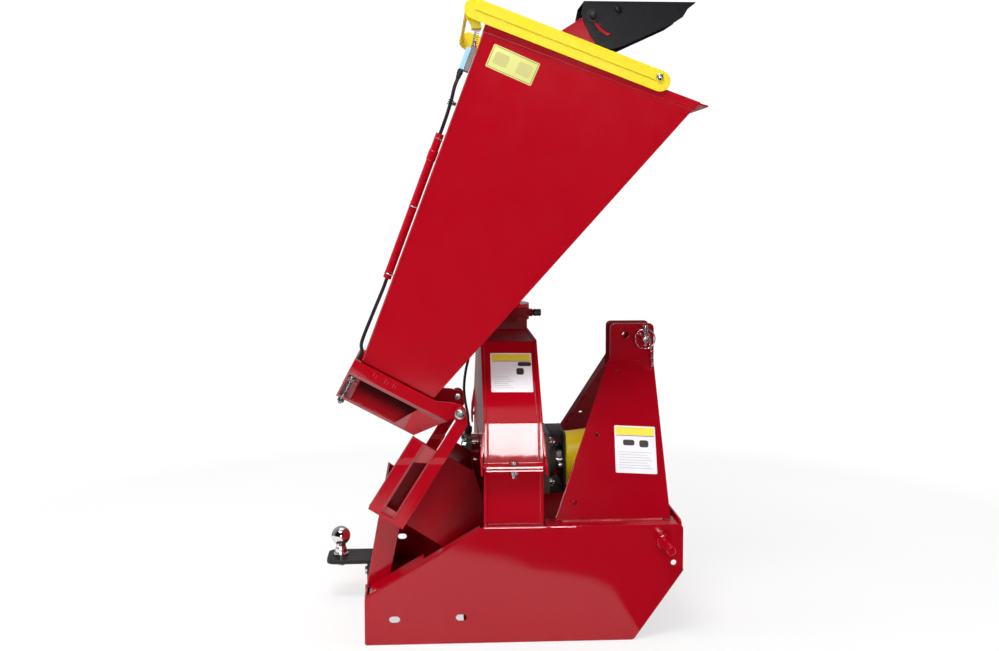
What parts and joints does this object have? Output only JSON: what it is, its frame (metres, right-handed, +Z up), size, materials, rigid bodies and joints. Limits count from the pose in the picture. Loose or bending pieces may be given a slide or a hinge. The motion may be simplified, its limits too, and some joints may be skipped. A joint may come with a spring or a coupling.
{
  "type": "tractor wood chipper",
  "caption": "Three-point-hitch disc wood chipper with folding infeed hopper, swivelling discharge chute with deflector, A-frame hitch and tow ball.",
  "frame": {"origin": "middle of the bounding box, on the ground under the base", "axes": "+Z up, +X towards the tractor, -Y towards the side with the hopper"},
  "size_m": [1.009, 0.87, 1.607],
  "materials": {
    "base_paint": "gloss powder coat",
    "hopper_paint": "gloss powder coat",
    "aframe_paint": "gloss powder coat",
    "housing_paint": "gloss powder coat",
    "yellow_paint": "gloss powder coat",
    "guard_plastic": "moulded",
    "black_paint": "satin black",
    "bracket_paint": "satin black",
    "bearing_iron": "dark olive coat, oiled",
    "zinc_plate": "zinc plated",
    "chrome_ball": "polished",
    "rotor_steel": "machined",
    "knife_steel": "ground",
    "rubber": "matt",
    "cable_sheath": "smooth sheath",
    "knob_plastic": "moulded",
    "switch_grey": "moulded",
    "switch_blue": "moulded"
  },
  "bodies": {
    "frame": {"side_plate_near": "base_paint", "side_plate_far": "base_paint", "rear_panel": "base_paint", "front_crossplate": "base_paint", "cross_bar_rear": "base_paint", "cross_bar_front": "base_paint", "aframe_plate_near": "aframe_paint", "aframe_plate_far": "aframe_paint", "top_link_pin": "zinc_plate", "linch_pin": "zinc_plate", "hitch_pin_near": "base_paint", "hitch_pin_far": "base_paint", "housing_lower": "housing_paint", "housing_upper": "housing_paint", "housing_bolt_near": "zinc_plate", "housing_bolt_far": "zinc_plate", "infeed_throat": "housing_paint", "bed_knife": "knife_steel", "infeed_frame": "housing_paint", "hinge_pin_near": "zinc_plate", "hinge_pin_far": "zinc_plate", "bearing_front": "bearing_iron", "bearing_rear": "bearing_iron", "bearing_spacer": "housing_paint", "pto_guard": "guard_plastic", "tow_bracket": "bracket_paint", "tow_ball": "chrome_ball", "tow_ball_nut": "zinc_plate", "tow_bolt_upper": "zinc_plate", "tow_bolt_lower": "zinc_plate", "speed_sensor_gland": "cable_sheath", "cable_slack": "cable_sheath"},
    "hopper": {"hopper_shell": "hopper_paint", "hopper_frame": "hopper_paint", "rubber_flap": "rubber", "cable_conduit": "hopper_paint", "switch_body": "switch_grey", "switch_cover": "switch_blue", "switch_gland": "cable_sheath", "cable_upper": "cable_sheath", "bar_spring": "zinc_plate", "bar_pivot_near": "zinc_plate", "bar_pivot_far": "zinc_plate", "clamp_bolt": "zinc_plate"},
    "bar": {"safety_bar": "yellow_paint"},
    "rotor": {"rotor_disc": "rotor_steel", "knife_a": "knife_steel", "knife_b": "knife_steel", "knife_c": "knife_steel", "knife_d": "knife_steel", "rotor_shaft": "rotor_steel"},
    "chute": {"chute_duct": "housing_paint", "deflector_pivot_near": "zinc_plate", "deflector_pivot_far": "zinc_plate", "deflector_lock_bolt": "zinc_plate"},
    "deflector": {"deflector_hood": "black_paint"},
    "knob": {"lock_knob": "knob_plastic"},
    "ring": {"linch_ring": "zinc_plate"}
  },
  "joints": [
    {"name": "hopper_fold", "type": "hinge", "parent": "frame", "child": "hopper", "pos_m": [-0.159, 0, 0.553], "axis": [0, -1, 0], "range_deg": [0, 86], "deforming": ["cable_slack"]},
    {"name": "bar_push", "type": "hinge", "parent": "hopper", "child": "bar", "pos_m": [0.297, 0, 1.34], "axis": [0, -1, 0], "range_deg": [0, 2.2], "stiffness_Nm_per_rad": 90, "springref_deg": -11.46, "deforming": ["bar_spring"]},
    {"name": "rotor_spin", "type": "hinge", "parent": "frame", "child": "rotor", "pos_m": [-0.032, 0, 0.37], "axis": [1, 0, 0], "continuous": true},
    {"name": "chute_swivel", "type": "hinge", "parent": "frame", "child": "chute", "pos_m": [-0.032, 0.205, 0.76], "axis": [0, 0, 1], "range_deg": [0, 180]},
    {"name": "deflector_tilt", "type": "hinge", "parent": "chute", "child": "deflector", "pos_m": [0.289, 0.205, 1.583], "axis": [0, 1, 0], "range_deg": [0, 58]},
    {"name": "knob_pull", "type": "slide", "parent": "frame", "child": "knob", "axis": [1, 0, 0], "range_m": [0, 0.0085], "stiffness_N_per_m": 600, "springref_m": -0.01},
    {"name": "linch_ring_flip", "type": "hinge", "parent": "frame", "child": "ring", "pos_m": [0.3336, -0.066, 0.723], "axis": [-1, 0, 0], "range_deg": [0, 150]}
  ]
}
